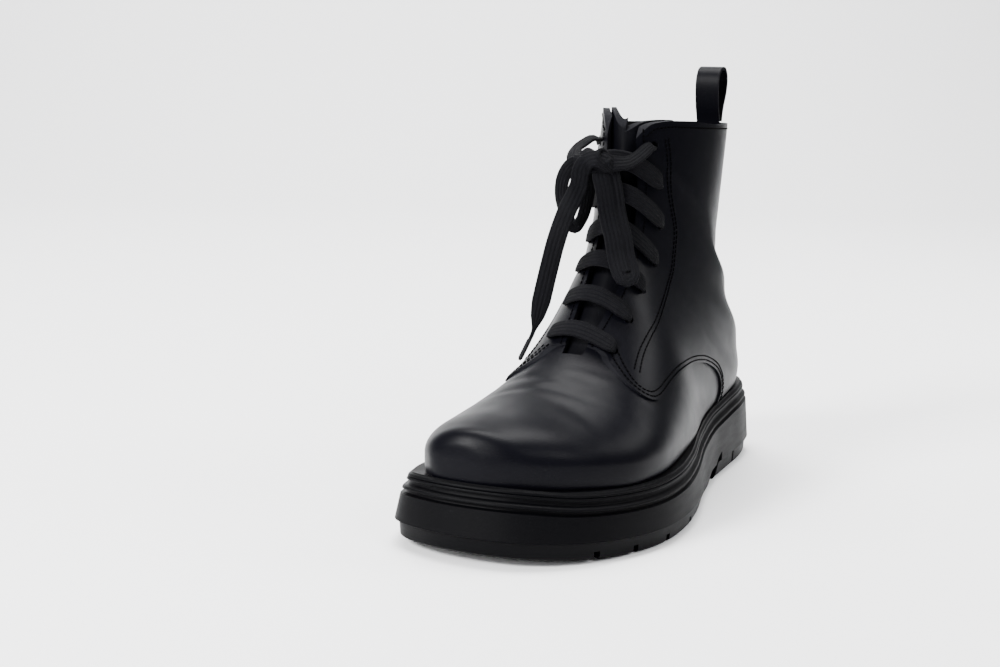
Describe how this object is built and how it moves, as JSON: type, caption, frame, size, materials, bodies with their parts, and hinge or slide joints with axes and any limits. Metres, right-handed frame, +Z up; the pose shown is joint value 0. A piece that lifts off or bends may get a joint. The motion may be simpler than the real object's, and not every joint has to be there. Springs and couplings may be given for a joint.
{
  "type": "combat boot",
  "caption": "Left lace-up combat boot: hollow leather upper open at the collar, tongue, insole, flat laces, rear pull loop and a thick lugged rubber sole",
  "frame": {"origin": "centre of the bounding box in plan, on the plane of the tread", "axes": "+Z is up, -Y points to the toe and +Y to the heel, +X is the outer side of the left foot"},
  "size_m": [0.1318, 0.313, 0.2373],
  "materials": {
    "sole_rubber": "matte black-grey moulded rubber, the beads slightly glossier",
    "upper_leather": "smooth black leather with a soft satin shine",
    "tongue_leather": "soft matte black leather",
    "insole_fabric": "black textile cover",
    "loop_leather": "smooth black leather strap",
    "lace_fabric": "black flat woven lace"
  },
  "bodies": {
    "root": {"sole": "sole_rubber", "upper": "upper_leather", "tongue": "tongue_leather", "insole": "insole_fabric", "pull_loop": "loop_leather", "lace_bar_1": "lace_fabric", "lace_bar_2": "lace_fabric", "lace_bar_3": "lace_fabric", "lace_bar_4": "lace_fabric", "lace_bar_5": "lace_fabric", "lace_bar_6": "lace_fabric", "lace_knot": "lace_fabric", "lace_run_outer": "lace_fabric", "lace_run_inner": "lace_fabric", "lace_end": "lace_fabric", "lace_loop_inner": "lace_fabric", "lace_loop_outer": "lace_fabric"}
  },
  "joints": []
}
